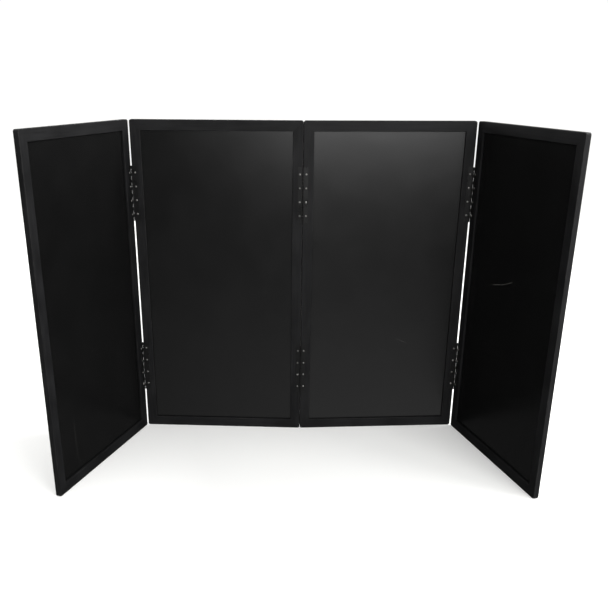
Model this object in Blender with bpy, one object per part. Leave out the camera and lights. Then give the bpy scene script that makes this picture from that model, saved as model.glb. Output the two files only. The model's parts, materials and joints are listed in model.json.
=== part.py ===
"""Four-panel folding screen, standing in a shallow U.

Each panel is a mitred frame round a thin infill board. The three joints
between the panels each turn on an upper and a lower length of continuous
hinge, screwed to the inner faces. X runs across the screen, the inner
faces look towards -Y, and Z is up from the floor.
"""

import math

import bmesh
import bpy
from mathutils import Matrix, Vector

# Panels.
PANEL_WIDTH = 0.635
PANEL_HEIGHT = 1.2192
PANEL_THICKNESS = 0.019
MEMBER_WIDTH = 0.038
CORNER_RADIUS = 0.008
EDGE_ROUND = 0.0012
TOUCH_GAP = 0.0003

# The board sits in a groove halfway through the frame's thickness.
BOARD_THICKNESS = 0.003
GROOVE_DEPTH = 0.009

# A loose tongue is hidden in each mitre.
TONGUE_LENGTH = 0.020
TONGUE_WIDTH = 0.010
TONGUE_THICKNESS = 0.005
TONGUE_INSET = 0.0155

# Continuous hinge, cut in short lengths. The knuckle count is even.
HINGE_LENGTH = 0.2032
HINGE_OFFSET = 0.345
KNUCKLE_COUNT = 16
LEAF_WIDTH = 0.01905
LEAF_THICKNESS = 0.001
BARREL_RADIUS = 0.0022
BORE_RADIUS = 0.0014
PIN_RADIUS = 0.001
SCREW_COUNT = 4
SCREW_PITCH = 0.0508
SCREW_REACH = 0.012
SCREW_RADIUS = 0.0033
SCREW_CROWN_RADIUS = 0.0024
SCREW_HEIGHT = 0.0009

# How the screen stands, in degrees. The middle pair rests past flat, on its
# rear edges, and each wing is folded in towards the other.
PAST_FLAT = 6.2
LEFT_FOLD = 74.0
RIGHT_FOLD = 78.5

# Facets of the round shapes.
CORNER_STEPS = 3
BARREL_STEPS = 7
BORE_SIDES = 6
HEAD_SIDES = 8

# The hinge axis stands off the inner faces by the barrel and its gap. Half
# the gap between two panels leaves their rear edges just clear at rest.
PIN_STANDOFF = BARREL_RADIUS + TOUCH_GAP
HALF_TILT = math.radians(PAST_FLAT / 2)
REAR_REACH = (PIN_STANDOFF + PANEL_THICKNESS) * math.sin(HALF_TILT)
HALF_GAP = (REAR_REACH + TOUCH_GAP / 2) / math.cos(HALF_TILT)
PIVOT_SPACING = PANEL_WIDTH + 2 * HALF_GAP

# Finishes: name, colour, roughness and metallic value.
FRAME_BLACK = ("matte_black_paint", (0.022, 0.022, 0.023), 0.6, 0.0)
BOARD_BLACK = ("satin_black_board", (0.014, 0.014, 0.015), 0.38, 0.0)
BEECH = ("beech", (0.52, 0.36, 0.21), 0.6, 0.0)
HINGE_BLACK = ("black_steel", (0.02, 0.02, 0.021), 0.35, 1.0)
PIN_STEEL = ("bright_steel", (0.6, 0.6, 0.6), 0.3, 1.0)


def clear_scene():
    for item in list(bpy.data.objects):
        bpy.data.objects.remove(item)


def finish_material(finish):
    name, colour, roughness, metallic = finish
    material = bpy.data.materials.new(name)
    material.use_nodes = True
    shader = material.node_tree.nodes["Principled BSDF"]
    shader.inputs["Base Color"].default_value = (*colour, 1.0)
    shader.inputs["Roughness"].default_value = roughness
    shader.inputs["Metallic"].default_value = metallic
    return material


def add_mesh(name, shape, finish, parent, offset=(0.0, 0.0, 0.0)):
    """Closes a bmesh into a named object under an empty."""
    bmesh.ops.recalc_face_normals(shape, faces=shape.faces)
    mesh = bpy.data.meshes.new(name)
    shape.to_mesh(mesh)
    shape.free()
    mesh.materials.append(finish_material(finish))
    item = bpy.data.objects.new(name, mesh)
    bpy.context.collection.objects.link(item)
    item.parent = parent
    item.location = offset
    return item


def add_empty(name, pivot, turn):
    """An empty on a hinge axis, turned about Z by an angle in radians."""
    empty = bpy.data.objects.new(name, None)
    bpy.context.collection.objects.link(empty)
    empty.location = pivot
    empty.rotation_euler = (0.0, 0.0, turn)
    return empty


def apply_boolean(item, other, operation):
    """Cuts or joins a hidden helper into an object."""
    other.hide_render = True
    other.display_type = "WIRE"
    modifier = item.modifiers.new(other.name, "BOOLEAN")
    modifier.operation = operation
    modifier.solver = "EXACT"
    modifier.object = other


def add_tube_faces(shape, near, far):
    """Quads between two equal rings of vertices."""
    for i in range(len(near)):
        j = (i + 1) % len(near)
        shape.faces.new((near[i], near[j], far[j], far[i]))


def loft(shape, rings):
    """Skins a run of equal rings of points and caps both ends."""
    rows = [[shape.verts.new(point) for point in ring] for ring in rings]
    for near, far in zip(rows, rows[1:]):
        add_tube_faces(shape, near, far)
    shape.faces.new(rows[0])
    shape.faces.new(rows[-1])


def circle(radius, sides, z):
    turns = [2 * math.pi * (i + 0.5) / sides for i in range(sides)]
    return [(radius * math.cos(turn), radius * math.sin(turn), z) for turn in turns]


# Panels. A panel's empty is on its hinge axis, and the panel runs from there
# along the empty's X, to the right for side +1 and to the left for side -1.


def panel_point(u, v, depth, side):
    """A point u from the panel's hinged edge, v above its foot and depth behind its inner face."""
    return Vector((side * (HALF_GAP + u), PIN_STANDOFF + depth, v))


def member_profile():
    """A frame member's section, as (inset from its outer edge, depth behind the inner face)."""
    back = PANEL_THICKNESS
    half_groove = BOARD_THICKNESS / 2 + TOUCH_GAP
    groove_floor = MEMBER_WIDTH - GROOVE_DEPTH
    return [
        (EDGE_ROUND, 0.0),
        (MEMBER_WIDTH - EDGE_ROUND, 0.0),
        (MEMBER_WIDTH, EDGE_ROUND),
        (MEMBER_WIDTH, back / 2 - half_groove),
        (groove_floor, back / 2 - half_groove),
        (groove_floor, back / 2 + half_groove),
        (MEMBER_WIDTH, back / 2 + half_groove),
        (MEMBER_WIDTH, back - EDGE_ROUND),
        (MEMBER_WIDTH - EDGE_ROUND, back),
        (EDGE_ROUND, back),
        (0.0, back - EDGE_ROUND),
        (0.0, EDGE_ROUND),
    ]


def corner_point(inset, turn):
    """Along and inset of a line on the corner, from the mitre at a turn of 45 degrees to the straight at 0."""
    if inset >= CORNER_RADIUS:
        return inset + CORNER_RADIUS * (1 - turn / math.radians(45)), inset
    radius = CORNER_RADIUS - inset
    return CORNER_RADIUS - radius * math.sin(turn), CORNER_RADIUS - radius * math.cos(turn)


def member_rings(length):
    """Rings of (along, inset, depth) from one mitre to the other, half a gap short of each."""
    half_mitre_gap = TOUCH_GAP / math.sqrt(2)
    rings = []
    for step in range(CORNER_STEPS + 1):
        turn = math.radians(45) * (1 - step / CORNER_STEPS)
        shortened = half_mitre_gap if step == 0 else 0.0
        ring = []
        for inset, depth in member_profile():
            along, across = corner_point(inset, turn)
            ring.append((along + shortened, across, depth))
        rings.append(ring)
    far_end = [[(length - along, across, depth) for along, across, depth in ring] for ring in rings]
    return rings + far_end[::-1]


def tongue_rings(grow):
    """A tongue square across the mitre at a corner, grown all round by a clearance."""
    along = Vector((1, -1, 0)).normalized() * (TONGUE_LENGTH / 2 + grow)
    across = Vector((1, 1, 0)).normalized() * (TONGUE_WIDTH / 2 + grow)
    centre = Vector((TONGUE_INSET, TONGUE_INSET, PANEL_THICKNESS / 2))
    half_depth = Vector((0, 0, TONGUE_THICKNESS / 2 + grow))
    square = (-along - across, along - across, along + across, across - along)
    return [[centre + lift + corner for corner in square] for lift in (-half_depth, half_depth)]


def placed_shape(rings, place):
    """A bmesh of a loft whose ring points are carried onto the panel."""
    shape = bmesh.new()
    loft(shape, [[place(*point) for point in ring] for ring in rings])
    return shape


def build_panel(name, empty, side, near_name):
    """Two stiles, two rails, four tongues and the board. The near stile is the one at the panel's empty."""

    def at_corner(far, top):
        """Places (from the side edge, from the end edge, depth) at one of the panel's corners."""

        def place(u, v, depth):
            across = PANEL_WIDTH - u if far else u
            height = PANEL_HEIGHT - v if top else v
            return panel_point(across, height, depth, side)

        return place

    stiles = {}
    rails = {}
    for far, stile_name in ((False, near_name), (True, "outer_stile")):
        place = at_corner(far, False)
        shape = placed_shape(member_rings(PANEL_HEIGHT), lambda along, inset, depth: place(inset, along, depth))
        stiles[far] = add_mesh(f"{name}_{stile_name}", shape, FRAME_BLACK, empty)
    for top, rail_name in ((False, "bottom_rail"), (True, "top_rail")):
        shape = placed_shape(member_rings(PANEL_WIDTH), at_corner(False, top))
        rails[top] = add_mesh(f"{name}_{rail_name}", shape, FRAME_BLACK, empty)

    for top, height_name in ((False, "bottom"), (True, "top")):
        for far, side_name in ((False, "inner"), (True, "outer")):
            place = at_corner(far, top)
            tongue_name = f"{name}_{height_name}_{side_name}_tongue"
            add_mesh(tongue_name, placed_shape(tongue_rings(0.0), place), BEECH, empty)
            cutter = add_mesh(f"{tongue_name}_pocket", placed_shape(tongue_rings(TOUCH_GAP), place), BEECH, empty)
            apply_boolean(stiles[far], cutter, "DIFFERENCE")
            apply_boolean(rails[top], cutter, "DIFFERENCE")

    inset = MEMBER_WIDTH - GROOVE_DEPTH + TOUCH_GAP
    outline = [(inset, inset), (PANEL_WIDTH - inset, inset)]
    outline += [(u, PANEL_HEIGHT - v) for u, v in reversed(outline)]
    front = (PANEL_THICKNESS - BOARD_THICKNESS) / 2
    rings = [[(u, v, depth) for u, v in outline] for depth in (front, front + BOARD_THICKNESS)]
    add_mesh(f"{name}_board", placed_shape(rings, at_corner(False, False)), BOARD_BLACK, empty)


# Hinges. The axis is X = Y = 0, and a leaf runs to one side of it, flat
# against the inner face behind it.


def leaf_shape(side, own_first):
    """A leaf and its knuckles. It owns every other knuckle, from the lowest or from the next one up."""
    notch = side * (BARREL_RADIUS + TOUCH_GAP)
    edge = side * LEAF_WIDTH
    back = BARREL_RADIUS
    front = BARREL_RADIUS - LEAF_THICKNESS
    plate = [(notch, back), (edge, back), (edge, front), (notch, front)]
    curl_start = math.asin(front / BARREL_RADIUS)
    curl_turn = math.radians(270) + curl_start
    curl = []
    for step in range(BARREL_STEPS + 1):
        turn = curl_start - curl_turn * step / BARREL_STEPS
        curl.append((side * BARREL_RADIUS * math.cos(turn), BARREL_RADIUS * math.sin(turn)))

    pitch = HINGE_LENGTH / KNUCKLE_COUNT
    heights = [0.0]
    for k in range(0 if own_first else 1, KNUCKLE_COUNT, 2):
        heights += [k * pitch + TOUCH_GAP / 2, (k + 1) * pitch - TOUCH_GAP / 2]
    heights.append(HINGE_LENGTH)

    shape = bmesh.new()
    levels = []
    for z in heights:
        plate_row = [shape.verts.new((x, y, z)) for x, y in plate]
        if z in (0.0, HINGE_LENGTH):
            shape.faces.new(plate_row)
            levels.append((plate_row, None, None))
            continue
        curl_row = [shape.verts.new((x, y, z)) for x, y in curl]
        bore_row = [shape.verts.new(point) for point in circle(BORE_RADIUS, BORE_SIDES, z)]
        levels.append((plate_row, [plate_row[3], *curl_row, plate_row[0]], bore_row))

    for index, (below, above) in enumerate(zip(levels, levels[1:])):
        knuckle = index % 2 == 1
        for i in range(3 if knuckle else 4):
            j = (i + 1) % 4
            shape.faces.new((below[0][i], below[0][j], above[0][j], above[0][i]))
        if knuckle:
            for i in range(len(below[1]) - 1):
                shape.faces.new((below[1][i], below[1][i + 1], above[1][i + 1], above[1][i]))
            add_tube_faces(shape, below[2], above[2])
    for _, rim, bore in levels[1:-1]:
        edges = [shape.edges.get((ring[i - 1], ring[i])) for ring in (rim, bore) for i in range(len(ring))]
        bmesh.ops.triangle_fill(shape, use_beauty=True, edges=edges)
    return shape


def screw_heads_shape(side):
    """The leaf's screw heads, each a low crown sunk a little into the plate."""
    plate_front = BARREL_RADIUS - LEAF_THICKNESS
    shape = bmesh.new()
    for k in range(SCREW_COUNT):
        height = HINGE_LENGTH / 2 + (k - (SCREW_COUNT - 1) / 2) * SCREW_PITCH
        rings = []
        for radius, y in (
            (SCREW_RADIUS, plate_front + LEAF_THICKNESS / 2),
            (SCREW_RADIUS, plate_front - SCREW_HEIGHT / 3),
            (SCREW_CROWN_RADIUS, plate_front - SCREW_HEIGHT),
        ):
            rings.append([(side * SCREW_REACH + x, y, height + z) for x, z, _ in circle(radius, HEAD_SIDES, 0.0)])
        loft(shape, rings)
    return shape


def add_leaf(name, parent, offset, side, own_first):
    leaf = add_mesh(name, leaf_shape(side, own_first), HINGE_BLACK, parent, offset)
    heads = add_mesh(f"{name}_heads", screw_heads_shape(side), PIN_STEEL, parent, offset)
    apply_boolean(leaf, heads, "UNION")


def build_hinges(joint, outer, outer_offset, outer_side, inner, inner_offset, leaf_names):
    """An upper and a lower hinge between two panels. The pin rides with the first panel."""
    for height_name, sign in (("lower", -1), ("upper", 1)):
        foot = PANEL_HEIGHT / 2 + sign * HINGE_OFFSET - HINGE_LENGTH / 2
        name = f"{joint}_{height_name}_hinge"
        for parent, along, side, leaf_name in (
            (inner, inner_offset, -outer_side, leaf_names[0]),
            (outer, outer_offset, outer_side, leaf_names[1]),
        ):
            add_leaf(f"{name}_{leaf_name}", parent, (along, 0.0, foot), side, parent is inner)
        shape = bmesh.new()
        loft(shape, [circle(PIN_RADIUS, BORE_SIDES, z) for z in (0.0, HINGE_LENGTH)])
        add_mesh(f"{name}_pin", shape, PIN_STEEL, inner, (inner_offset, 0.0, foot))


# Layout.


def plan_outline(pivot, turn, side):
    """A panel's outline seen from above, in the world."""
    reach = PANEL_WIDTH
    depth = PANEL_THICKNESS
    corners = []
    for u in (0.0, EDGE_ROUND, reach - EDGE_ROUND, reach):
        for d in (0.0, EDGE_ROUND, depth - EDGE_ROUND, depth):
            on_edge = u in (0.0, reach)
            on_face = d in (0.0, depth)
            if on_edge != on_face:
                corners.append(pivot + Matrix.Rotation(turn, 3, "Z") @ panel_point(u, 0.0, d, side))
    return corners


def layout():
    """Each panel's pivot, turn and side, moved so that the screen's box is centred on the origin."""
    centre = Vector((0.0, 0.0, 0.0))
    left_pivot = PIVOT_SPACING * Vector((-math.cos(HALF_TILT), math.sin(HALF_TILT), 0.0))
    right_pivot = PIVOT_SPACING * Vector((math.cos(HALF_TILT), math.sin(HALF_TILT), 0.0))
    panels = {
        "left_wing": (left_pivot, math.radians(LEFT_FOLD) - HALF_TILT, -1),
        "left_middle": (centre, -HALF_TILT, -1),
        "right_middle": (centre, HALF_TILT, 1),
        "right_wing": (right_pivot, HALF_TILT - math.radians(RIGHT_FOLD), 1),
    }
    corners = [corner for panel in panels.values() for corner in plan_outline(*panel)]
    xs = [corner.x for corner in corners]
    ys = [corner.y for corner in corners]
    middle = Vector(((min(xs) + max(xs)) / 2, (min(ys) + max(ys)) / 2, 0.0))
    return {name: (pivot - middle, turn, side) for name, (pivot, turn, side) in panels.items()}


def main():
    clear_scene()
    empties = {}
    for name, (pivot, turn, side) in layout().items():
        empties[name] = add_empty(f"{name}_axis", pivot, turn)
        near_name = "hinge_stile" if name.endswith("wing") else "centre_stile"
        build_panel(name, empties[name], side, near_name)

    left, right = empties["left_middle"], empties["right_middle"]
    names = ("middle_leaf", "wing_leaf")
    build_hinges("left", empties["left_wing"], 0.0, -1, left, -PIVOT_SPACING, names)
    build_hinges("right", empties["right_wing"], 0.0, 1, right, PIVOT_SPACING, names)
    build_hinges("centre", right, 0.0, 1, left, 0.0, ("left_leaf", "right_leaf"))


main()
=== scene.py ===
import json
import math

import bmesh
import bpy
import numpy as np
from mathutils import Matrix, Vector
from mathutils.geometry import tessellate_polygon


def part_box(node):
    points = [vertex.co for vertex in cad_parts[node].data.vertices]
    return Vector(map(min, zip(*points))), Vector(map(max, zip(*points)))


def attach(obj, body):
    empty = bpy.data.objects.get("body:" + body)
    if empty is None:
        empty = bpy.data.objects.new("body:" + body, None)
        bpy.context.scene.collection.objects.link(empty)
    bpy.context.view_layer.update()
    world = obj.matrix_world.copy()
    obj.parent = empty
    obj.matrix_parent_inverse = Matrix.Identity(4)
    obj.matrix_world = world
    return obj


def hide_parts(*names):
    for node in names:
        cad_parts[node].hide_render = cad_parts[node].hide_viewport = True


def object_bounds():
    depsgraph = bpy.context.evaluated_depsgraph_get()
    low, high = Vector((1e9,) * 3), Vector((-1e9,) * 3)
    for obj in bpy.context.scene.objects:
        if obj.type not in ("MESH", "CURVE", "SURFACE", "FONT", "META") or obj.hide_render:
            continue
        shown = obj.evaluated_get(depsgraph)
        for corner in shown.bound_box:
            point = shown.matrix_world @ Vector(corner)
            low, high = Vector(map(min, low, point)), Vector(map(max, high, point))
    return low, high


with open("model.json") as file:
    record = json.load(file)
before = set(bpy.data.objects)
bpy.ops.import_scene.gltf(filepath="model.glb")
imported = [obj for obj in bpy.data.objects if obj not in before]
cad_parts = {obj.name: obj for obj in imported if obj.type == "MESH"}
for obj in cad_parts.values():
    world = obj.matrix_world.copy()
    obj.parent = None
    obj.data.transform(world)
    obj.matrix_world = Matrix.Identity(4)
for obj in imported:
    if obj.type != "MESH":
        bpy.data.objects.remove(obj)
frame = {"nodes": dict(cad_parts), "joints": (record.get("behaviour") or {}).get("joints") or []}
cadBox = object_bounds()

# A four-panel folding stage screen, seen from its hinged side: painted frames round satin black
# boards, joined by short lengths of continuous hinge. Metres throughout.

print("frame loaded:", len(frame["nodes"]), "CAD nodes")


# Small tools

def hexColour(text, alpha=1.0):
    # sRGB hex to linear by the standard curve: a power of 2.4 with a straight foot near black
    parts = [int(text[k:k + 2], 16) / 255 for k in (1, 3, 5)]
    return tuple(c / 12.92 if c <= 0.04045 else ((c + 0.055) / 1.055) ** 2.4 for c in parts) + (alpha,)


def addNode(tree, kind, links=None, **settings):
    # One node: its settings by name, then each input as a value or as the socket it is fed from
    node = tree.nodes.new(kind)
    for key, value in settings.items():
        setattr(node, key, value)
    for key, value in (links or {}).items():
        if isinstance(value, bpy.types.NodeSocket):
            tree.links.new(value, node.inputs[key])
        else:
            node.inputs[key].default_value = value
    return node


def newMaterial(name):
    material = bpy.data.materials.new(name)
    material.use_nodes = True
    tree = material.node_tree
    return material, tree, tree.nodes["Principled BSDF"]


def gridFaces(rows, cols, closed):
    # Quad (i, j) joins grid points (i, j), (i, j+1), (i+1, j+1) and (i+1, j); the columns wrap when closed
    i, j = np.meshgrid(np.arange(rows - 1), np.arange(cols if closed else cols - 1), indexing="ij")
    k = (j + 1) % cols
    return np.stack([i * cols + j, i * cols + k, (i + 1) * cols + k, (i + 1) * cols + j], -1).reshape(-1, 4)


def makePiece(name, points, faces, material, body, replaced=(), values=None, sharp=35.0):
    # Turns arrays into one closed piece with its place in its mesh, faces outwards
    mesh = bpy.data.meshes.new(name)
    mesh.from_pydata(np.asarray(points, float).reshape(-1, 3).tolist(), [], faces)
    for key, array in (values or {}).items():
        array = np.asarray(array, np.float32)
        kind = "FLOAT_VECTOR" if array.ndim > 1 else "FLOAT"
        layer = mesh.attributes.new(key, kind, "POINT")
        layer.data.foreach_set("vector" if array.ndim > 1 else "value", array.ravel())
    shape = bmesh.new()
    shape.from_mesh(mesh)
    bmesh.ops.recalc_face_normals(shape, faces=shape.faces)
    shape.to_mesh(mesh)
    shape.free()
    mesh.shade_smooth()
    mesh.set_sharp_from_angle(angle=math.radians(sharp))
    mesh.materials.append(material)
    piece = bpy.data.objects.new(name, mesh)
    bpy.context.scene.collection.objects.link(piece)
    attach(piece, body)
    if replaced:
        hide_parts(*replaced)
    return piece


def ripple(x, seed, longest, count):
    # A seeded sum of sines, each shorter and weaker than the last, about -1 to 1
    draw = np.random.default_rng(seed)
    total = np.zeros_like(np.asarray(x, float))
    for k in range(1, count + 1):
        total += np.sin(2 * np.pi * (x * k / longest * draw.uniform(0.8, 1.25) + draw.random())) / k
    return total / sum(1 / k for k in range(1, count + 1))


def smoothStep(x, low, high):
    t = np.clip((x - low) / (high - low), 0, 1)
    return t * t * (3 - 2 * t)


# Where the panels stand: each one's hinge axis, its direction and its outward normal, from the CAD

jointAt = {joint["name"]: Vector(joint["pos_m"]) for joint in frame["joints"]}
panelAxis = {
    "left_wing": ("left_wing_fold", -1), "left_middle": ("centre_fold", -1),
    "right_middle": ("centre_fold", 1), "right_wing": ("right_wing_fold", 1),
}


def panelPlace(name):
    # The board's points in plan are a long thin rectangle, so their main direction is the panel's own
    co = np.array([v.co[:2] for v in frame["nodes"][f"{name}_board"].data.vertices])
    _, _, directions = np.linalg.svd(co - co.mean(0), full_matrices=False)
    jointName, side = panelAxis[name]
    pivot = np.array(jointAt[jointName])
    along = directions[0] * np.sign(directions[0] @ (co.mean(0) - pivot[:2]))
    across = side * along
    behind = np.array([-across[1], across[0]])
    return {
        "side": side, "pivot": pivot,
        "along": np.append(across, 0.0), "behind": np.append(behind, 0.0),
    }


places = {name: panelPlace(name) for name in panelAxis}

panelSize = {
    "width": 0.635, "height": 1.2192, "standoff": 0.0025, "halfGap": 0.0013146,
}


def onPanel(name, u, v, depth):
    # u out from the hinged edge, v up from the foot, depth behind the inner face
    place = places[name]
    u, v, depth = np.broadcast_arrays(u, v, depth)
    return (
        place["pivot"] * (1, 1, 0)
        + (place["side"] * (panelSize["halfGap"] + u))[..., None] * place["along"]
        + (panelSize["standoff"] + depth)[..., None] * place["behind"]
        + v[..., None] * np.array((0, 0, 1.0))
    )


# Materials

framePaint = {
    "black": "#0b0b0c", "worn": "#161617", "rubbed": "#282726", "dust": "#5e5c58",
    "grainAcross": 0.0045, "grainAlong": 0.13, "stipple": 0.0011, "patch": 0.16, "speckCell": 0.045,
    "wearPerMetre": 55.0, "speckSize": (0.012, 0.03), "speckShare": 0.72,
    "matte": (0.52, 0.64), "specular": 0.165, "relief": 0.32, "reliefDepth": 0.00025,
}


def paintedPine(name="matteBlackEnamelOnPine"):
    # Matte enamel brushed on planed pine: the grain shows as fine ridges along each member, with a
    # soft stipple over it, a slight patchiness, rubbed arrises and a few specks of dust. Pine's rings
    # are 1 to 3 mm apart, too fine to show, so the grain is drawn 4.5 mm apart
    s = framePaint
    material, tree, shader = newMaterial(name)
    space = addNode(tree, "ShaderNodeAttribute", attribute_name="memberSpace").outputs["Vector"]
    wear = addNode(tree, "ShaderNodeAttribute", attribute_name="edgeWear").outputs["Fac"]
    stretched = addNode(tree, "ShaderNodeMapping", {
        "Vector": space, "Scale": (1 / s["grainAlong"], 1 / s["grainAcross"], 1 / s["grainAcross"]),
    }).outputs[0]
    grain = addNode(tree, "ShaderNodeTexNoise", {"Vector": stretched, "Scale": 1.0, "Detail": 3.0,
                                                 "Roughness": 0.6}).outputs[0]
    stipple = addNode(tree, "ShaderNodeTexNoise", {"Vector": space, "Scale": 1 / s["stipple"],
                                                   "Detail": 2.0}).outputs[0]
    patch = addNode(tree, "ShaderNodeTexNoise", {"Vector": space, "Scale": 1 / s["patch"], "Detail": 5.0,
                                                 "Roughness": 0.6}).outputs[0]
    wearBreak = addNode(tree, "ShaderNodeTexNoise", {
        "Vector": space, "Scale": s["wearPerMetre"], "Detail": 5.0, "Roughness": 0.7,
    }).outputs[0]
    wearNoise = addNode(tree, "ShaderNodeMapRange", {
        "Value": wearBreak, "From Min": 0.5, "From Max": 0.72, "To Max": 0.75,
    }).outputs[0]
    worn = addNode(tree, "ShaderNodeMath", {0: wear, 1: wearNoise}, operation="MULTIPLY").outputs[0]
    cells = addNode(tree, "ShaderNodeTexVoronoi", {"Vector": space, "Scale": 1 / s["speckCell"]})
    spot = addNode(tree, "ShaderNodeMapRange", {
        "Value": cells.outputs["Distance"], "From Min": s["speckSize"][0], "From Max": s["speckSize"][1],
        "To Min": 1.0, "To Max": 0.0,
    }).outputs[0]
    pick = addNode(tree, "ShaderNodeSeparateColor", {0: cells.outputs["Color"]}).outputs[0]
    few = addNode(tree, "ShaderNodeMath", {0: pick, 1: s["speckShare"]}, operation="GREATER_THAN").outputs[0]
    speck = addNode(tree, "ShaderNodeMath", {0: spot, 1: few}, operation="MULTIPLY").outputs[0]
    mottle = addNode(tree, "ShaderNodeMath", {0: grain, 1: patch}, operation="ADD").outputs[0]
    tone = addNode(tree, "ShaderNodeMapRange", {"Value": mottle, "From Min": 0.85,
                                                "From Max": 1.15}).outputs[0]
    base = addNode(tree, "ShaderNodeMix", {0: tone, 6: hexColour(s["black"]), 7: hexColour(s["worn"])},
                   data_type="RGBA").outputs[2]
    rubbed = addNode(tree, "ShaderNodeMix", {0: worn, 6: base, 7: hexColour(s["rubbed"])},
                     data_type="RGBA").outputs[2]
    dusted = addNode(tree, "ShaderNodeMix", {0: speck, 6: rubbed, 7: hexColour(s["dust"])},
                     data_type="RGBA").outputs[2]
    tree.links.new(dusted, shader.inputs["Base Color"])
    rough = addNode(tree, "ShaderNodeMapRange", {"Value": patch, "From Min": 0.3, "From Max": 0.7,
                                                 "To Min": s["matte"][0], "To Max": s["matte"][1]}).outputs[0]
    tree.links.new(rough, shader.inputs["Roughness"])
    shader.inputs["Specular IOR Level"].default_value = s["specular"]
    relief = addNode(tree, "ShaderNodeMath", {0: grain, 1: 0.6, 2: stipple},
                     operation="MULTIPLY_ADD").outputs[0]
    bump = addNode(tree, "ShaderNodeBump", {"Height": relief, "Strength": s["relief"],
                                            "Distance": s["reliefDepth"]}).outputs[0]
    tree.links.new(bump, shader.inputs["Normal"])
    return material


boardFace = {
    "black": "#080808", "haze": "#0a0a0a", "speck": "#6f6d69",
    "streakAcross": 0.006, "streakAlong": 0.5, "peel": 0.0016, "smudge": 0.11, "speckCell": 0.035,
    "speckSize": (0.02, 0.045), "speckShare": (0.7, 0.95), "gloss": (0.225, 0.25), "streakGloss": 0.02,
    "specular": 0.5, "relief": 0.1, "reliefDepth": 0.0002,
    "scratches": ({"angle": 18.0, "spacing": 0.31, "width": 0.0012, "shift": 3.1},
                  {"angle": -63.0, "spacing": 0.42, "width": 0.0010, "shift": 7.7}),
    "scratchBend": 0.35, "bendPerMetre": 2.2, "breakPerMetre": 6.5,
}


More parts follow.
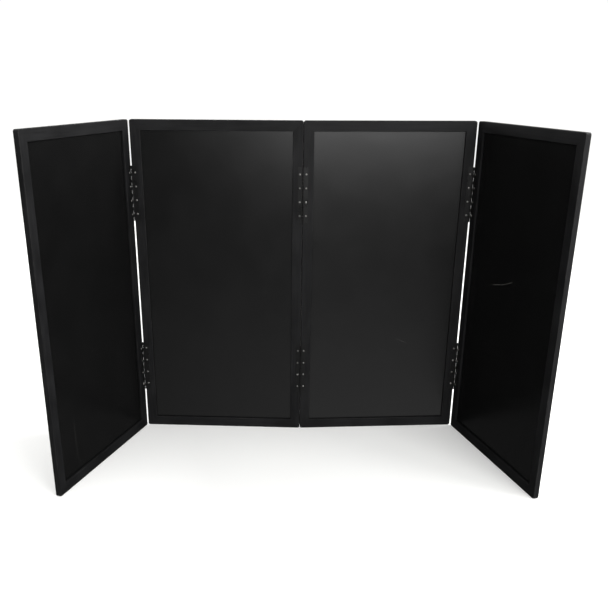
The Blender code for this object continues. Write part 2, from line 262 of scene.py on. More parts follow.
def satinBoard(name, scuffed=False):
    # Hardboard with a roller-coated satin face: smooth, with faint upright roller lines, an uneven
    # sheen from handling, sparse pale specks and hair-fine scratches. Hairlines of 0.1 mm wouldn't
    # show, so they are drawn about 1 mm wide and faint
    s = boardFace
    material, tree, shader = newMaterial(name)
    space = addNode(tree, "ShaderNodeAttribute", attribute_name="boardSpace").outputs["Vector"]
    stretched = addNode(tree, "ShaderNodeMapping", {
        "Vector": space, "Scale": (1 / s["streakAcross"], 1 / s["streakAlong"], 1.0),
    }).outputs[0]
    streak = addNode(tree, "ShaderNodeTexNoise", {"Vector": stretched, "Scale": 1.0, "Detail": 4.0,
                                                  "Roughness": 0.65}).outputs[0]
    peel = addNode(tree, "ShaderNodeTexNoise", {"Vector": space, "Scale": 1 / s["peel"],
                                                "Detail": 1.0}).outputs[0]
    smudge = addNode(tree, "ShaderNodeTexNoise", {"Vector": space, "Scale": 1 / s["smudge"], "Detail": 3.0,
                                                  "Roughness": 0.5, "Distortion": 0.2}).outputs[0]
    cells = addNode(tree, "ShaderNodeTexVoronoi", {"Vector": space, "Scale": 1 / s["speckCell"]})
    spot = addNode(tree, "ShaderNodeMapRange", {
        "Value": cells.outputs["Distance"], "From Min": s["speckSize"][0], "From Max": s["speckSize"][1],
        "To Min": 1.0, "To Max": 0.0,
    }).outputs[0]
    pick = addNode(tree, "ShaderNodeSeparateColor", {0: cells.outputs["Color"]}).outputs
    few = addNode(tree, "ShaderNodeMapRange", {"Value": pick[0], "From Min": s["speckShare"][0],
                                               "From Max": s["speckShare"][1]}).outputs[0]
    speck = addNode(tree, "ShaderNodeMath", {0: spot, 1: few}, operation="MULTIPLY").outputs[0]
    marks = speck
    for scratch in s["scratches"]:
        turned = addNode(tree, "ShaderNodeMapping", {
            "Vector": space, "Location": (scratch["shift"], scratch["shift"], 0.0),
            "Rotation": (0.0, 0.0, math.radians(scratch["angle"])),
        }).outputs[0]
        bend = addNode(tree, "ShaderNodeTexNoise", {"Vector": turned, "Scale": s["bendPerMetre"],
                                                    "Detail": 1.0}).outputs[0]
        across = addNode(tree, "ShaderNodeSeparateXYZ", {0: turned}).outputs[0]
        bent = addNode(tree, "ShaderNodeMath", {0: bend, 1: s["scratchBend"], 2: across},
                       operation="MULTIPLY_ADD").outputs[0]
        line = addNode(tree, "ShaderNodeMath", {0: bent, 1: scratch["spacing"]},
                       operation="PINGPONG").outputs[0]
        thin = addNode(tree, "ShaderNodeMapRange", {
            "Value": line, "From Min": 0.0, "From Max": scratch["width"], "To Min": 1.0, "To Max": 0.0,
        }).outputs[0]
        gate = addNode(tree, "ShaderNodeTexNoise", {"Vector": turned, "Scale": s["breakPerMetre"],
                                                    "Detail": 3.0}).outputs[0]
        short = addNode(tree, "ShaderNodeMapRange", {"Value": gate, "From Min": 0.60, "From Max": 0.72,
                                                     "To Max": 0.3}).outputs[0]
        stroke = addNode(tree, "ShaderNodeMath", {0: thin, 1: short}, operation="MULTIPLY").outputs[0]
        marks = addNode(tree, "ShaderNodeMath", {0: marks, 1: stroke}, operation="MAXIMUM").outputs[0]
    if scuffed:
        marks = addNode(tree, "ShaderNodeMath", {0: marks, 1: scuffMark(tree, space)},
                        operation="MAXIMUM").outputs[0]
    hazy = addNode(tree, "ShaderNodeMapRange", {"Value": smudge, "From Min": 0.38,
                                                "From Max": 0.68}).outputs[0]
    base = addNode(tree, "ShaderNodeMix", {0: hazy, 6: hexColour(s["black"]), 7: hexColour(s["haze"])},
                   data_type="RGBA").outputs[2]
    marked = addNode(tree, "ShaderNodeMix", {0: marks, 6: base, 7: hexColour(s["speck"])},
                     data_type="RGBA").outputs[2]
    tree.links.new(marked, shader.inputs["Base Color"])
    sheen = addNode(tree, "ShaderNodeMapRange", {"Value": smudge, "From Min": 0.3, "From Max": 0.7,
                                                 "To Min": s["gloss"][0], "To Max": s["gloss"][1]}).outputs[0]
    lined = addNode(tree, "ShaderNodeMath", {0: streak, 1: s["streakGloss"], 2: sheen},
                    operation="MULTIPLY_ADD").outputs[0]
    tree.links.new(lined, shader.inputs["Roughness"])
    shader.inputs["Specular IOR Level"].default_value = s["specular"]
    bump = addNode(tree, "ShaderNodeBump", {"Height": peel, "Strength": s["relief"],
                                            "Distance": s["reliefDepth"]}).outputs[0]
    tree.links.new(bump, shader.inputs["Normal"])
    return material


scuff = {
    "centre": (0.24, 0.668), "halfLength": 0.1, "slope": 0.36, "bow": -0.004, "width": 0.0023,
    "core": 0.3, "fadeFrom": 0.8, "strength": 0.28, "breakPerMetre": 34.0,
}


def scuffMark(tree, space):
    # A shallow wavy rub: within its length, how near a point is to a sloping, waving line, broken by noise
    s = scuff
    parts = addNode(tree, "ShaderNodeSeparateXYZ", {0: space}).outputs
    along = addNode(tree, "ShaderNodeMath", {0: parts[0], 1: s["centre"][0]},
                    operation="SUBTRACT").outputs[0]
    upTo = addNode(tree, "ShaderNodeMath", {0: parts[1], 1: s["centre"][1]},
                   operation="SUBTRACT").outputs[0]
    turn = addNode(tree, "ShaderNodeMath", {0: along, 1: math.pi / s["halfLength"]},
                   operation="MULTIPLY").outputs[0]
    wave = addNode(tree, "ShaderNodeMath", {0: turn}, operation="SINE").outputs[0]
    level = addNode(tree, "ShaderNodeMath", {0: along, 1: -s["slope"], 2: upTo},
                    operation="MULTIPLY_ADD").outputs[0]
    off = addNode(tree, "ShaderNodeMath", {0: wave, 1: -s["bow"], 2: level},
                  operation="MULTIPLY_ADD").outputs[0]
    far = addNode(tree, "ShaderNodeMath", {0: off}, operation="ABSOLUTE").outputs[0]
    near = addNode(tree, "ShaderNodeMapRange", {"Value": far, "From Min": s["width"] * s["core"],
                                                "From Max": s["width"], "To Min": s["strength"],
                                                "To Max": 0.0}).outputs[0]
    reach = addNode(tree, "ShaderNodeMath", {0: along}, operation="ABSOLUTE").outputs[0]
    inside = addNode(tree, "ShaderNodeMapRange", {
        "Value": reach, "From Min": s["halfLength"] * s["fadeFrom"], "From Max": s["halfLength"],
        "To Min": 1.0, "To Max": 0.0,
    }).outputs[0]
    broken = addNode(tree, "ShaderNodeTexNoise", {"Vector": space, "Scale": s["breakPerMetre"],
                                                  "Detail": 3.0}).outputs[0]
    gate = addNode(tree, "ShaderNodeMapRange", {"Value": broken, "From Min": 0.46, "From Max": 0.56,
                                                "To Min": 0.15}).outputs[0]
    body = addNode(tree, "ShaderNodeMath", {0: near, 1: inside}, operation="MULTIPLY").outputs[0]
    return addNode(tree, "ShaderNodeMath", {0: body, 1: gate}, operation="MULTIPLY").outputs[0]


hingeCoat = {
    "black": "#070707", "grey": "#0d0d0d", "steel": "#5c5a56", "pore": 0.0007, "patch": 0.03,
    "barePerMetre": 420.0, "gloss": (0.24, 0.4), "specular": 0.3, "relief": 0.15, "reliefDepth": 0.0001,
}


def blackCoatedSteel(name="blackCoatedSteel"):
    # Rolled steel strip with a thin semi-gloss black coat: fine pores, a cloudy sheen, and bare
    # steel just showing where knuckles rub on each other
    s = hingeCoat
    material, tree, shader = newMaterial(name)
    place = addNode(tree, "ShaderNodeTexCoord").outputs["Object"]
    rub = addNode(tree, "ShaderNodeAttribute", attribute_name="rub").outputs["Fac"]
    pore = addNode(tree, "ShaderNodeTexNoise", {"Vector": place, "Scale": 1 / s["pore"],
                                                "Detail": 2.0}).outputs[0]
    cloud = addNode(tree, "ShaderNodeTexNoise", {"Vector": place, "Scale": 1 / s["patch"], "Detail": 5.0,
                                                 "Roughness": 0.65}).outputs[0]
    broken = addNode(tree, "ShaderNodeTexNoise", {"Vector": place, "Scale": s["barePerMetre"],
                                                  "Detail": 4.0}).outputs[0]
    bare = addNode(tree, "ShaderNodeMapRange", {"Value": broken, "From Min": 0.52,
                                                "From Max": 0.62}).outputs[0]
    worn = addNode(tree, "ShaderNodeMath", {0: rub, 1: bare}, operation="MULTIPLY").outputs[0]
    base = addNode(tree, "ShaderNodeMix", {0: cloud, 6: hexColour(s["black"]), 7: hexColour(s["grey"])},
                   data_type="RGBA").outputs[2]
    both = addNode(tree, "ShaderNodeMix", {0: worn, 6: base, 7: hexColour(s["steel"])},
                   data_type="RGBA").outputs[2]
    tree.links.new(both, shader.inputs["Base Color"])
    tree.links.new(worn, shader.inputs["Metallic"])
    rough = addNode(tree, "ShaderNodeMapRange", {"Value": cloud, "From Min": 0.3, "From Max": 0.7,
                                                 "To Min": s["gloss"][0], "To Max": s["gloss"][1]}).outputs[0]
    tree.links.new(rough, shader.inputs["Roughness"])
    shader.inputs["Specular IOR Level"].default_value = s["specular"]
    bump = addNode(tree, "ShaderNodeBump", {"Height": pore, "Strength": s["relief"],
                                            "Distance": s["reliefDepth"]}).outputs[0]
    tree.links.new(bump, shader.inputs["Normal"])
    return material


# The darkest grey here is painted shade for the cross recess of each screw head
screwSteel = {
    "zinc": "#d6d5d1", "dull": "#adaca8", "recessShade": "#2a2a29", "lathe": 0.00035,
    "patchPerMetre": 350.0, "gloss": (0.34, 0.5), "relief": 0.2, "reliefDepth": 0.00005,
}


def zincPlatedSteel(name="zincPlatedSteel"):
    # Bright zinc plate on steel screws and pins: a clean grey with dull patches, fine turning marks
    # round each head, and painted shade darkening the cross recess of each head
    s = screwSteel
    material, tree, shader = newMaterial(name)
    place = addNode(tree, "ShaderNodeTexCoord").outputs["Object"]
    recessShade = addNode(tree, "ShaderNodeAttribute", attribute_name="recessShade").outputs["Fac"]
    ring = addNode(tree, "ShaderNodeAttribute", attribute_name="ringSpace").outputs["Vector"]
    patch = addNode(tree, "ShaderNodeTexNoise", {"Vector": place, "Scale": s["patchPerMetre"],
                                                 "Detail": 4.0}).outputs[0]
    marks = addNode(tree, "ShaderNodeTexNoise", {"Vector": ring, "Scale": 1 / s["lathe"],
                                                 "Detail": 1.0}).outputs[0]
    base = addNode(tree, "ShaderNodeMix", {0: patch, 6: hexColour(s["zinc"]), 7: hexColour(s["dull"])},
                   data_type="RGBA").outputs[2]
    # Painted shade: the head's cross recess is darkened towards a near-black grey
    recessShaded = addNode(tree, "ShaderNodeMix", {0: recessShade, 6: base, 7: hexColour(s["recessShade"])},
                     data_type="RGBA").outputs[2]
    tree.links.new(recessShaded, shader.inputs["Base Color"])
    shader.inputs["Metallic"].default_value = 1.0
    rough = addNode(tree, "ShaderNodeMapRange", {"Value": patch, "From Min": 0.3, "From Max": 0.7,
                                                 "To Min": s["gloss"][0], "To Max": s["gloss"][1]}).outputs[0]
    tree.links.new(rough, shader.inputs["Roughness"])
    bump = addNode(tree, "ShaderNodeBump", {"Height": marks, "Strength": s["relief"],
                                            "Distance": s["reliefDepth"]}).outputs[0]
    tree.links.new(bump, shader.inputs["Normal"])
    return material


tongueWood = {
    "light": "#c9a074", "dark": "#a67c50", "pore": "#7c5836", "ringWidth": 0.0022,
    "warpPerMetre": 60.0, "warp": 0.02, "flecksPerMetre": (400.0, 400.0, 2600.0),
    "roughness": 0.55, "relief": 0.2, "reliefDepth": 0.0001,
}


def planedBeech(name="planedBeech"):
    # Plain beech: pale pink-brown rings with short dark flecks along the grain
    s = tongueWood
    material, tree, shader = newMaterial(name)
    place = addNode(tree, "ShaderNodeTexCoord").outputs["Object"]
    warp = addNode(tree, "ShaderNodeTexNoise", {"Vector": place, "Scale": s["warpPerMetre"],
                                                "Detail": 2.0}).outputs["Color"]
    bent = addNode(tree, "ShaderNodeMix", {0: s["warp"], 4: place, 5: warp}, data_type="VECTOR").outputs[1]
    rings = addNode(tree, "ShaderNodeTexWave", {
        "Vector": bent, "Scale": 0.31 / s["ringWidth"],   # at scale 1 the wave repeats every 0.31
        "Distortion": 1.5, "Detail": 2.0,
    }, bands_direction="Z").outputs[0]
    squeezed = addNode(tree, "ShaderNodeMapping", {"Vector": place, "Scale": s["flecksPerMetre"]}).outputs[0]
    fleck = addNode(tree, "ShaderNodeTexNoise", {"Vector": squeezed, "Scale": 1.0,
                                                 "Detail": 1.0}).outputs[0]
    dot = addNode(tree, "ShaderNodeMapRange", {"Value": fleck, "From Min": 0.62,
                                               "From Max": 0.7}).outputs[0]
    base = addNode(tree, "ShaderNodeMix", {0: rings, 6: hexColour(s["light"]), 7: hexColour(s["dark"])},
                   data_type="RGBA").outputs[2]
    flecked = addNode(tree, "ShaderNodeMix", {0: dot, 6: base, 7: hexColour(s["pore"])},
                      data_type="RGBA").outputs[2]
    tree.links.new(flecked, shader.inputs["Base Color"])
    shader.inputs["Roughness"].default_value = s["roughness"]
    bump = addNode(tree, "ShaderNodeBump", {"Height": fleck, "Strength": s["relief"],
                                            "Distance": s["reliefDepth"]}).outputs[0]
    tree.links.new(bump, shader.inputs["Normal"])
    return material


paint = paintedPine()
boardPlain = satinBoard("satinCoatedHardboard")
boardScuffed = satinBoard("satinCoatedHardboardScuffed", scuffed=True)
coatedSteel = blackCoatedSteel()
brightSteel = zincPlatedSteel()
beech = planedBeech()
print("materials made")


# Frame members: stiles and rails, mitred, grooved for the board

member = {
    "width": 0.038, "thickness": 0.019, "cornerRadius": 0.008, "arris": 0.0015, "hingeArris": 0.0008,
    "lipArris": 0.0006,
    "grooveHalf": 0.0018, "grooveDepth": 0.009, "mitreGap": 0.00012, "spacing": 0.011,
    "cornerSteps": 9, "arrisSteps": 4, "support": 0.0022, "wander": 0.00028, "wanderLength": 0.21,
    "closeUp": 0.00022, "closeDepth": 1.0, "hingeCloseUp": 0.0005, "hingeCloseDepth": 0.009,
    "closeReach": (0.001, 0.006), "calmEnd": (0.05, 0.12), "lipWear": 0.5, "patternShift": 3.0,
    "pocketInset": 0.0155, "pocketHalfWidth": 0.0053, "pocketHalfDepth": 0.0028, "pocketReach": 0.0103,
}


def memberOutline(frontArris):
    # The section as (inset from the outer edge, depth): right-angled corners, each rounded by a
    # quarter circle, with support points a little way along every straight
    s = member
    w, t, half, groove = s["width"], s["thickness"], s["grooveHalf"], s["width"] - s["grooveDepth"]
    corners = [(0, 0, frontArris), (w, 0, s["arris"]), (w, t / 2 - half, s["lipArris"]),
               (groove, t / 2 - half, 0), (groove, t / 2 + half, 0),
               (w, t / 2 + half, s["lipArris"]), (w, t, s["arris"]), (0, t, s["arris"])]
    at = np.array([c[:2] for c in corners], float)
    back = np.roll(at, 1, 0) - at
    ahead = np.roll(at, -1, 0) - at
    back /= np.linalg.norm(back, axis=1)[:, None]
    ahead /= np.linalg.norm(ahead, axis=1)[:, None]
    points, wear = [], []
    turns = np.linspace(0, math.pi / 2, s["arrisSteps"] + 1)[:, None]
    for k, (_, _, radius) in enumerate(corners):
        if not radius:
            points.append(at[k][None])
            wear.append(np.zeros(1))
            continue
        centre = at[k] + radius * (back[k] + ahead[k])
        arc = centre - radius * (ahead[k] * np.cos(turns) + back[k] * np.sin(turns))
        points += [(at[k] + back[k] * (radius + s["support"]))[None], arc,
                   (at[k] + ahead[k] * (radius + s["support"]))[None]]
        wear += [np.zeros(1), np.ones(len(arc)) * (s["lipWear"] if radius == s["lipArris"] else 1.0),
                 np.zeros(1)]
    return np.vstack(points), np.concatenate(wear)


def memberRings(length, seed, frontArris, closeUp, closeDepth):
    # Rings of (along, inset, depth): they swing from the mitre round the corner's quarter circle,
    # then run straight to the far corner. The inner edge wanders by a fraction of a millimetre. The
    # outer edge can stand out by closeUp: through its whole thickness where the middle panels lean on
    # each other, and beside the outer hinges near the front only, fading out by closeDepth
    s = member
    outline, wear = memberOutline(frontArris)
    inset, depth = outline.T
    radius = s["cornerRadius"]
    turn = np.radians(45) * (1 - np.linspace(0, 1, s["cornerSteps"] + 1))[:, None]
    within = inset < radius
    along = np.where(within, radius - (radius - inset) * np.sin(turn),
                     inset + radius * (1 - turn / np.radians(45)))
    across = np.where(within, radius - (radius - inset) * np.cos(turn), inset)
    along[0] += s["mitreGap"] / math.sqrt(2)
    count = max(2, int((length - 2 * radius) / s["spacing"]))
    share = np.linspace(0, 1, count + 1)[1:-1, None]
    middle = along[-1] * (1 - share) + (length - along[-1]) * share
    along = np.vstack([along, middle, (length - along)[::-1]])
    across = np.vstack([across, np.broadcast_to(across[-1], middle.shape), across[::-1]])
    near = smoothStep(along, *s["calmEnd"]) * smoothStep(length - along, *s["calmEnd"])
    edge = np.clip((inset - (s["width"] - s["grooveDepth"])) / s["grooveDepth"], 0, 1)
    across = across + s["wander"] * edge * near * ripple(along, seed, s["wanderLength"], 4)
    across = across - closeUp * (1 - smoothStep(inset, *s["closeReach"])) * (
        1 - smoothStep(depth, closeDepth / 2, closeDepth))
    around = np.concatenate([[0], np.cumsum(np.linalg.norm(np.diff(outline, axis=0), axis=1))])
    return along, across, np.broadcast_to(depth, along.shape), around, wear


def buildMember(name, node, kind, length, seed):
    s = member
    joined = "centre_stile" in node
    hinged = "hinge_stile" in node or (kind == "farStile" and name.endswith("middle"))
    frontArris = s["hingeArris"] if joined or hinged else s["arris"]
    closeUp = s["closeUp"] if joined else s["hingeCloseUp"] if hinged else 0.0
    closeDepth = s["closeDepth"] if joined else s["hingeCloseDepth"]
    along, across, depth, around, wear = memberRings(length, seed, frontArris, closeUp, closeDepth)
    rows, cols = along.shape
    faces = gridFaces(rows, cols, True).tolist()
    points = [np.stack([along, across, depth], -1).reshape(-1, 3)]
    count = rows * cols
    shift = s["patternShift"] * seed   # each member reads its own stretch of the grain
    space = [np.stack([along + shift, np.broadcast_to(around, along.shape), depth * 0], -1).reshape(-1, 3)]
    worn = [np.broadcast_to(wear, along.shape).ravel()]
    # Each mitred end has a pocket for the hidden tongue, square to the mitre
    slide = s["pocketHalfWidth"] / math.sqrt(2)
    deep = s["pocketReach"] / math.sqrt(2)
    corner = np.array([(-1, -1), (1, -1), (1, 1), (-1, 1)])
    mouthAcross = s["pocketInset"] + slide * corner[:, 0]
    mouthDepth = s["thickness"] / 2 + s["pocketHalfDepth"] * corner[:, 1]
    for end in (0, 1):
        ring = np.arange(cols) + (rows - 1) * cols * end
        start = mouthAcross + s["mitreGap"] / math.sqrt(2)
        mouth = np.stack([start, mouthAcross, mouthDepth], -1)
        floor = mouth + (deep, -deep, 0)
        pocket = np.vstack([mouth, floor])
        if end:
            pocket[:, 0] = length - pocket[:, 0]
        first = count
        count += 8
        points.append(pocket)
        space.append(np.stack([pocket[:, 0] + shift, pocket[:, 1], pocket[:, 2]], -1))
        worn.append(np.zeros(8))
        rim = [Vector((a, d, 0)) for a, d in zip(across.reshape(-1)[ring], depth.reshape(-1)[ring])]
        hole = [Vector((a, d, 0)) for a, d in zip(mouthAcross, mouthDepth)]
        index = np.concatenate([ring, first + np.arange(4)])
        faces += [[int(index[k]) for k in tri] for tri in tessellate_polygon([rim, hole])]
        for k in range(4):
            after = (k + 1) % 4
            faces.append([first + k, first + after, first + 4 + after, first + 4 + k])
        faces.append([first + 4, first + 5, first + 6, first + 7])
    along, across, depth = np.vstack(points).T
    farSide = {"nearStile": False, "farStile": True}.get(kind)
    if farSide is not None:
        u, v = (panelSize["width"] - across if farSide else across), along
    else:
        u, v = along, (panelSize["height"] - across if kind == "topRail" else across)
    return makePiece(
        f"{node}_painted", onPanel(name, u, v, depth), faces, paint, name, (node,),
        {"memberSpace": np.vstack(space), "edgeWear": np.concatenate(worn)})


seed = 1
for name in places:
    nearStile = "hinge_stile" if name.endswith("wing") else "centre_stile"
    for node, kind, length in (
        (nearStile, "nearStile", panelSize["height"]), ("outer_stile", "farStile", panelSize["height"]),
        ("bottom_rail", "bottomRail", panelSize["width"]), ("top_rail", "topRail", panelSize["width"]),
    ):
        buildMember(name, f"{name}_{node}", kind, length, seed)
        seed += 1
print("frame members built")


# Boards

board = {
    "inset": 0.0293, "front": 0.008, "thickness": 0.003, "columns": 47, "rows": 93,
    "bulge": 0.00035, "bulgeLength": 0.42, "bulgeStretch": 1.7, "edgeFade": (0.008, 0.05),
    "firstSeed": 11, "upSeed": 50, "backShift": (5.0, 0.0, 0.0), "patternLayer": 1.7,
}


def buildBoard(name, seed):
    # Two parallel sheets a thickness apart, closed round the rim. Both follow the same slow swell,
    # the mean of a ripple across and one up the board, which dies away at the frame
    s = board
    u = np.linspace(s["inset"], panelSize["width"] - s["inset"], s["columns"])
    v = np.linspace(s["inset"], panelSize["height"] - s["inset"], s["rows"])
    vv, uu = np.meshgrid(v, u, indexing="ij")
    fade = np.ones_like(uu)
    for distance in (uu - u[0], u[-1] - uu, vv - v[0], v[-1] - vv):
        fade *= smoothStep(distance, *s["edgeFade"])
    swell = 0.5 * (ripple(uu, seed, s["bulgeLength"], 3)
                   + ripple(vv, seed + s["upSeed"], s["bulgeLength"] * s["bulgeStretch"], 3))
    depth = s["front"] + s["bulge"] * fade * swell
    points = np.vstack([onPanel(name, uu, vv, depth).reshape(-1, 3),
                        onPanel(name, uu, vv, depth + s["thickness"]).reshape(-1, 3)])
    rows, cols = uu.shape
    sheet = gridFaces(rows, cols, False)
    top = rows * cols
    rim = np.concatenate([np.arange(cols - 1), np.arange(rows - 1) * cols + cols - 1,
                          (rows - 1) * cols + np.arange(cols - 1, 0, -1),
                          np.arange(rows - 1, 0, -1) * cols])
    after = np.roll(rim, -1)
    wall = np.stack([rim, after, after + top, rim + top], -1)
    flat = np.stack([uu, vv, uu * 0], -1).reshape(-1, 3)
    # The back sheet reads the pattern from elsewhere, so that the two faces differ
    space = np.vstack([flat, flat + s["backShift"]])
    space[:, 2] = seed * s["patternLayer"]
    faces = np.vstack([sheet, sheet[:, ::-1] + top, wall]).tolist()
    finish = boardScuffed if name == "right_wing" else boardPlain
    return makePiece(f"{name}_board_coated", points, faces, finish, name, (f"{name}_board",),
                     {"boardSpace": space})


for k, name in enumerate(places):
    buildBoard(name, board["firstSeed"] + k)
print("boards built")


# Continuous hinge

hinge = {
    "length": 0.2032, "knuckles": 16, "leafWidth": 0.01905, "metal": 0.001, "barrel": 0.0022,
    "notch": 0.0029, "endGap": 0.0003, "tipAngle": 28.0, "arcSteps": 26, "rubReach": 0.0007,
    "edgeBevel": 0.00014,
}
joints = {
    "left": ("left_wing_fold", "left_middle", 1, "middle_leaf", "left_wing", -1, "wing_leaf"),
    "right": ("right_wing_fold", "right_middle", -1, "middle_leaf", "right_wing", 1, "wing_leaf"),
    "centre": ("centre_fold", "left_middle", -1, "left_leaf", "right_middle", 1, "right_leaf"),
}


def onHinge(jointName, panel, x, y, z):
    # x along the panel from the hinge axis, y behind it, z up
    place = places[panel]
    return (np.array(jointAt[jointName]) * (1, 1, 0) + np.asarray(x)[..., None] * place["along"]
            + np.asarray(y)[..., None] * place["behind"] + np.asarray(z)[..., None] * np.array((0, 0, 1.0)))


def stripSection(side):
    # The leaf's strip from its free edge to the tip of its curl, as pairs of points on its two
    # faces: straight along the panel, then round the pin at the barrel's outer and inner radius
    s = hinge
    r, t = s["barrel"], s["metal"]
    straightX = np.array([s["leafWidth"], s["notch"], 0.0])
    outer = [np.stack([straightX, np.full(3, r)], -1)]
    inner = [np.stack([straightX, np.full(3, r - t)], -1)]
    turn = np.radians(np.linspace(90, 360 + s["tipAngle"], s["arcSteps"] + 1))[1:]
    outer.append(r * np.stack([np.cos(turn), np.sin(turn)], -1))
    inner.append((r - t) * np.stack([np.cos(turn), np.sin(turn)], -1))
    outer, inner = np.vstack(outer), np.vstack(inner)
    return outer * (side, 1), inner * (side, 1)


def buildLeaf(name, jointName, panel, side, foot, ownFirst):
    # Stations up the leaf; between the two of a knuckle the whole strip runs on, elsewhere only the
    # flat part. Faces join like points of neighbouring stations, and caps close each curl's ends
    s = hinge
    outer, inner = stripSection(side)
    n = len(outer)
    pitch = s["length"] / s["knuckles"]
    heights, isKnuckle, rub = [0.0], [], [0.0]
    for k in range(0 if ownFirst else 1, s["knuckles"], 2):
        low, high = k * pitch + s["endGap"] / 2, (k + 1) * pitch - s["endGap"] / 2
        heights += [low, low + s["rubReach"], high - s["rubReach"], high]
        isKnuckle += [False, True, True, True]
        rub += [1.0, 0.0, 0.0, 1.0]
    heights.append(s["length"])
    isKnuckle.append(False)
    rub.append(0.0)
    ring = np.vstack([outer, inner])
    z = np.array(heights)[:, None]
    x = np.broadcast_to(ring[:, 0], (len(heights), 2 * n))
    y = np.broadcast_to(ring[:, 1], (len(heights), 2 * n))
    points = onHinge(jointName, panel, x, y, z + foot + 0 * x)
    a, b = 2 * n * np.arange(len(heights)), np.arange(n)
    notchPair = 1   # the flat part ends at the second pair of points
    faces = []
    for k, whole in enumerate(isKnuckle):
        low, high = a[k], a[k + 1]
        last = n - 1 if whole else notchPair
        i = b[:last]
        faces += np.stack([low + i, low + i + 1, high + i + 1, high + i], -1).tolist()
        faces += np.stack([low + n + i + 1, low + n + i, high + n + i, high + n + i + 1], -1).tolist()
        for j in (0, last):
            faces.append([low + j, low + n + j, high + n + j, high + j])
    for k in range(1, len(heights) - 1):
        if isKnuckle[k - 1] != isKnuckle[k]:
            i = b[notchPair:n - 1]
            faces += np.stack([a[k] + i, a[k] + i + 1, a[k] + n + i + 1, a[k] + n + i], -1).tolist()
    for k in (0, len(heights) - 1):
        i = b[:notchPair]
        faces += np.stack([a[k] + i, a[k] + i + 1, a[k] + n + i + 1, a[k] + n + i], -1).tolist()
    rubbed = np.repeat(np.array(rub)[:, None], 2 * n, 1)
    rubbed[:, [0, 1, n, n + 1]] = 0
    # Points of the curl at the flat-only stations carry no face
    used = np.zeros(len(heights) * 2 * n, bool)
    used[np.unique(np.concatenate([np.ravel(f) for f in faces]))] = True
    order = np.cumsum(used) - 1
    faces = [[int(order[v]) for v in f] for f in faces]
    piece = makePiece(
        f"{name}_rolled", points.reshape(-1, 3)[used], faces, coatedSteel, panel, (name,),
        {"rub": rubbed.ravel()[used]}, sharp=30.0)
    bevel = piece.modifiers.new("softEdges", "BEVEL")
    bevel.width = s["edgeBevel"]
    bevel.segments = 2
    bevel.limit_method = "ANGLE"
    bevel.angle_limit = math.radians(50)
    bevel.harden_normals = True
    return piece


screw = {
    "count": 4, "pitch": 0.0508, "reach": 0.012, "radius": 0.0031, "dome": 0.00098, "lift": 0.00012,
    "sunk": 0.0003, "domePower": 3, "rings": 15, "spokes": 40, "ringShift": 0.1, "turnSeed": 23,
    "armWidth": 0.00062, "armReach": 0.0019, "recess": 0.00085, "recessEdge": (0.75, 1.25),
    "recessRise": 0.35,
}


def screwHead(turn):
    # An oval head on a polar grid: a shallow dome with a cross-shaped recess, whose depth falls off
    # with the distance outside two crossed bars; underneath, a flat disc
    s = screw
    radii = s["radius"] * np.linspace(0, 1, s["rings"])[1:, None]
    angles = 2 * np.pi * np.arange(s["spokes"]) / s["spokes"]
    px, pz = radii * np.cos(angles), radii * np.sin(angles)
    qx, qz = px * math.cos(turn) + pz * math.sin(turn), pz * math.cos(turn) - px * math.sin(turn)
    barA = np.maximum(np.abs(qx) / s["armReach"], np.abs(qz) / s["armWidth"])
    barB = np.maximum(np.abs(qz) / s["armReach"], np.abs(qx) / s["armWidth"])
    inside = 1 - smoothStep(np.minimum(barA, barB), *s["recessEdge"])
    height = s["dome"] * (1 - (radii / s["radius"]) ** s["domePower"]) + s["lift"] - s["recess"] * inside * (
        1 - s["recessRise"] * radii / s["armReach"])
    height[-1] = 0.0
    x = np.concatenate([[0], px.ravel(), px[-1], [0]])
    z = np.concatenate([[0], pz.ravel(), pz[-1], [0]])
    centre = s["dome"] + s["lift"] - s["recess"]
    y = np.concatenate([[centre], height.ravel(), np.full(s["spokes"], -s["sunk"]), [-s["sunk"]]])
    # The recess mask, 1 in the cross and fading out round it, also paints shade into the recess
    recessShade = np.concatenate([[1], inside.ravel(), np.zeros(s["spokes"] + 1)])
    m = s["spokes"]
    j = np.arange(m)
    k = (j + 1) % m
    faces = np.stack([0 * j, 1 + j, 1 + k], -1).tolist()
    faces += (gridFaces(s["rings"], m, True) + 1).tolist()
    last = 1 + (s["rings"] - 1) * m
    faces += np.stack([last + k, last + j, last + m + 0 * j], -1).tolist()
    return np.stack([x, y, z], -1), faces, recessShade


def buildScrews(name, jointName, panel, side, foot, draw):
    # Four heads up the leaf, each turned as its driver left it
    s = screw
    front = hinge["barrel"] - hinge["metal"]
    points, faces, recessShades, rings = [], [], [], []
    for k in range(s["count"]):
        head, headFaces, recessShade = screwHead(draw.uniform(0, math.pi / 2))
        first = sum(len(p) for p in points)
        z = foot + hinge["length"] / 2 + (k - (s["count"] - 1) / 2) * s["pitch"]
        points.append(onHinge(jointName, panel, side * s["reach"] + head[:, 0], front - head[:, 1],
                              z + head[:, 2]))
        faces += [[v + first for v in f] for f in headFaces]
        recessShades.append(recessShade)
        radius = np.hypot(head[:, 0], head[:, 2])
        rings.append(np.stack([radius, head[:, 1], np.full(len(head), s["ringShift"] * k)], -1))
    return makePiece(f"{name}_screws", np.vstack(points), faces, brightSteel, panel, (),
                     {"recessShade": np.concatenate(recessShades), "ringSpace": np.vstack(rings)}, sharp=50.0)


pin = {
    "radius": 0.00112, "spokes": 18, "crown": 0.0002, "crownSteps": 4, "crownSpread": 1.6, "endBand": 0.001,
}


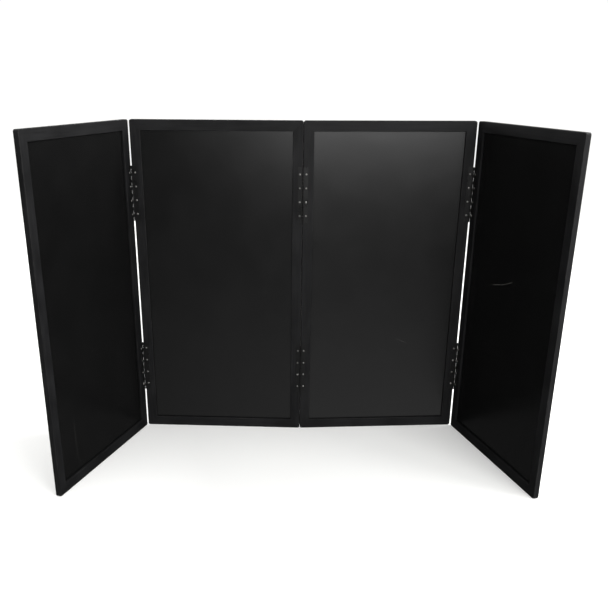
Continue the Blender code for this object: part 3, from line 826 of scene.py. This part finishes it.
def buildPin(name, jointName, panel):
    # A profile of radius against height turned about the axis: a straight wire with crowned ends
    s = pin
    low, high = (corner.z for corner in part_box(name))
    bend = np.linspace(0, math.pi / 2, s["crownSteps"])
    shrink = s["radius"] - s["crown"] * (1 - np.cos(bend)) * s["crownSpread"]
    radii = np.concatenate([shrink[::-1], np.full(2, s["radius"]), shrink])
    heights = np.concatenate([low + s["crown"] - s["crown"] * np.sin(bend[::-1]),
                              [low + s["endBand"], high - s["endBand"]],
                              high - s["crown"] + s["crown"] * np.sin(bend)])
    heights = np.maximum.accumulate(heights)
    angles = 2 * np.pi * np.arange(s["spokes"]) / s["spokes"]
    x = radii[:, None] * np.cos(angles)
    y = radii[:, None] * np.sin(angles)
    z = np.broadcast_to(heights[:, None], x.shape)
    faces = gridFaces(len(radii), s["spokes"], True).tolist()
    faces.append(list(range(s["spokes"])))
    faces.append([(len(radii) - 1) * s["spokes"] + k for k in range(s["spokes"])])
    around = np.stack([z, np.broadcast_to(angles * s["radius"], x.shape), 0 * x], -1)
    return makePiece(f"{name}_drawn", onHinge(jointName, panel, x, y, z), faces, brightSteel, panel,
                     (name,), {"recessShade": np.zeros(x.size), "ringSpace": around.reshape(-1, 3)})


draw = np.random.default_rng(screw["turnSeed"])
for joint, (jointName, inner, innerSide, innerLeaf, outer, outerSide, outerLeaf) in joints.items():
    for height in ("lower", "upper"):
        base = f"{joint}_{height}_hinge"
        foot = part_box(f"{base}_pin")[0].z
        buildLeaf(f"{base}_{innerLeaf}", jointName, inner, innerSide, foot, True)
        buildLeaf(f"{base}_{outerLeaf}", jointName, outer, outerSide, foot, False)
        buildScrews(f"{base}_{innerLeaf}", jointName, inner, innerSide, foot, draw)
        buildScrews(f"{base}_{outerLeaf}", jointName, outer, outerSide, foot, draw)
        buildPin(f"{base}_pin", jointName, inner)
print("hinges built")

# The tongues in the mitres keep their CAD shape
for node, piece in frame["nodes"].items():
    if node.endswith("_tongue"):
        piece.data.materials.clear()
        piece.data.materials.append(beech)


# Studio

studio = {
    "floorTone": "#f8f8f6", "floorShade": "#f4f4f2", "floorGlow": 0.12, "floorReach": 60.0,
    "floorDrop": 0.0004, "floorRough": 0.9, "floorSpecular": 0.1, "surround": 1.02,
    "mirrored": {"walls": 0.05, "ceiling": 1.15, "frontFloor": 0.75, "frontIs": (0.5, -0.866, 0.0),
                 "ceilingLift": (0.25, 0.55), "floorLift": (-0.2, -0.4), "frontSpread": (0.45, 1.0)},
    "lights": {
        "behindCamera": {"at": (0.95, -5.6, 1.75), "aim": (0.2, 0.3, 1.2), "size": (3.7, 1.9),
                         "watts": 88.0},
        "front": {"at": (2.6, -4.0, 3.0), "aim": (-0.2, 0.1, 0.5), "size": (2.2, 2.2), "watts": 115.0},
        "right": {"at": (3.4, 0.9, 3.4), "aim": (-0.7, 0.0, 0.6), "size": (1.4, 1.4), "watts": 190.0},
        "rightLow": {"at": (3.6, -1.9, 1.5), "aim": (-0.7, 0.0, 0.6), "size": (1.2, 1.2), "watts": 50.0},
        "behindScreen": {"at": (-1.2, 5.4, 1.9), "aim": (0.0, 0.0, 0.8), "size": (2.4, 1.6), "watts": 60.0},
    },
}


def buildStudio():
    s = studio
    reach = s["floorReach"]
    mesh = bpy.data.meshes.new("studioFloor")
    z = cadBox[0].z - s["floorDrop"]
    corners = [(-reach, -reach, z), (reach, -reach, z), (reach, reach, z), (-reach, reach, z)]
    mesh.from_pydata(corners, [], [(0, 1, 2, 3)])
    # Matt painted board: pale, with a slow unevenness
    material, tree, shader = newMaterial("paleStudioFloor")
    place = addNode(tree, "ShaderNodeTexCoord").outputs["Object"]
    cloud = addNode(tree, "ShaderNodeTexNoise", {"Vector": place, "Scale": 0.8, "Detail": 3.0}).outputs[0]
    tone = addNode(tree, "ShaderNodeMix", {0: cloud, 6: hexColour(s["floorTone"]),
                                           7: hexColour(s["floorShade"])},
                   data_type="RGBA").outputs[2]
    tree.links.new(tone, shader.inputs["Base Color"])
    shader.inputs["Roughness"].default_value = s["floorRough"]
    shader.inputs["Specular IOR Level"].default_value = s["floorSpecular"]
    shader.inputs["Emission Color"].default_value = (1.0, 1.0, 1.0, 1.0)
    # The glow keeps the ground as white as the wall
    shader.inputs["Emission Strength"].default_value = s["floorGlow"]
    mesh.materials.append(material)
    floor = bpy.data.objects.new("studioFloor", mesh)
    bpy.context.scene.collection.objects.link(floor)
    floor.visible_glossy = False   # the sheen on the panels mirrors the dim room, not the lit floor
    world = bpy.data.worlds.new("whiteStudio")
    world.use_nodes = True
    tree = world.node_tree
    background = tree.nodes["Background"]
    background.inputs["Color"].default_value = (1.0, 1.0, 1.0, 1.0)
    # White all round as a light. In reflections the walls are dim, the ceiling bright, and the floor
    # in front bright too, as it is in a room lit from above
    m = s["mirrored"]
    toward = addNode(tree, "ShaderNodeTexCoord").outputs["Generated"]
    lift = addNode(tree, "ShaderNodeSeparateXYZ", {0: toward}).outputs[2]
    facing = addNode(tree, "ShaderNodeVectorMath", {0: toward, 1: m["frontIs"]},
                     operation="DOT_PRODUCT").outputs[1]
    above = addNode(tree, "ShaderNodeMapRange", {
        "Value": lift, "From Min": m["ceilingLift"][0], "From Max": m["ceilingLift"][1],
        "To Min": m["walls"], "To Max": m["ceiling"],
    }).outputs[0]
    below = addNode(tree, "ShaderNodeMapRange", {
        "Value": lift, "From Min": m["floorLift"][0], "From Max": m["floorLift"][1],
        "To Max": m["frontFloor"],
    }).outputs[0]
    ahead = addNode(tree, "ShaderNodeMapRange", {"Value": facing, "From Min": m["frontSpread"][0],
                                                 "From Max": m["frontSpread"][1]}).outputs[0]
    dim = addNode(tree, "ShaderNodeMath", {0: below, 1: ahead, 2: above},
                  operation="MULTIPLY_ADD").outputs[0]
    isGlossy = addNode(tree, "ShaderNodeLightPath").outputs["Is Glossy Ray"]
    strength = addNode(tree, "ShaderNodeMix", {0: isGlossy, 2: s["surround"], 3: dim},
                       data_type="FLOAT").outputs[0]
    tree.links.new(strength, background.inputs["Strength"])
    bpy.context.scene.world = world
    for name, light in s["lights"].items():
        data = bpy.data.lights.new(name, "AREA")
        data.shape = "RECTANGLE"
        data.size, data.size_y = light["size"]
        data.energy = light["watts"]
        lamp = bpy.data.objects.new(name, data)
        lamp.location = light["at"]
        beam = Vector(light["aim"]) - Vector(light["at"])
        lamp.rotation_euler = beam.to_track_quat("-Z", "Y").to_euler()
        lamp.visible_camera = False
        bpy.context.scene.collection.objects.link(lamp)
    bpy.context.scene.view_settings.view_transform = "Standard"


camera = {
    "at": (-0.0750, -2.6298, 1.3636), "yaw": 0.640, "pitch": 21.644, "roll": 0.347,
    "lens": 45.18, "sensor": 36.0, "shift": (0.0329, 0.125),
}


def buildCamera():
    # Yaw turns right of +Y, pitch looks down, roll turns the right-hand axis up
    s = camera
    yaw, pitch, roll = (math.radians(s[key]) for key in ("yaw", "pitch", "roll"))
    ahead = Vector((math.sin(yaw) * math.cos(pitch), math.cos(yaw) * math.cos(pitch), -math.sin(pitch)))
    level = Vector((math.cos(yaw), -math.sin(yaw), 0.0))
    up = level.cross(ahead)
    right = level * math.cos(roll) + up * math.sin(roll)
    up = right.cross(ahead)
    data = bpy.data.cameras.new("studioCamera")
    data.sensor_width = s["sensor"]
    data.lens = s["lens"]
    data.shift_x, data.shift_y = s["shift"]
    view = bpy.data.objects.new("studioCamera", data)
    turned = Matrix((right, up, -ahead)).transposed().to_4x4()
    view.matrix_world = Matrix.Translation(s["at"]) @ turned
    bpy.context.scene.collection.objects.link(view)
    bpy.context.scene.camera = view


buildStudio()
buildCamera()
print("studio and camera set")
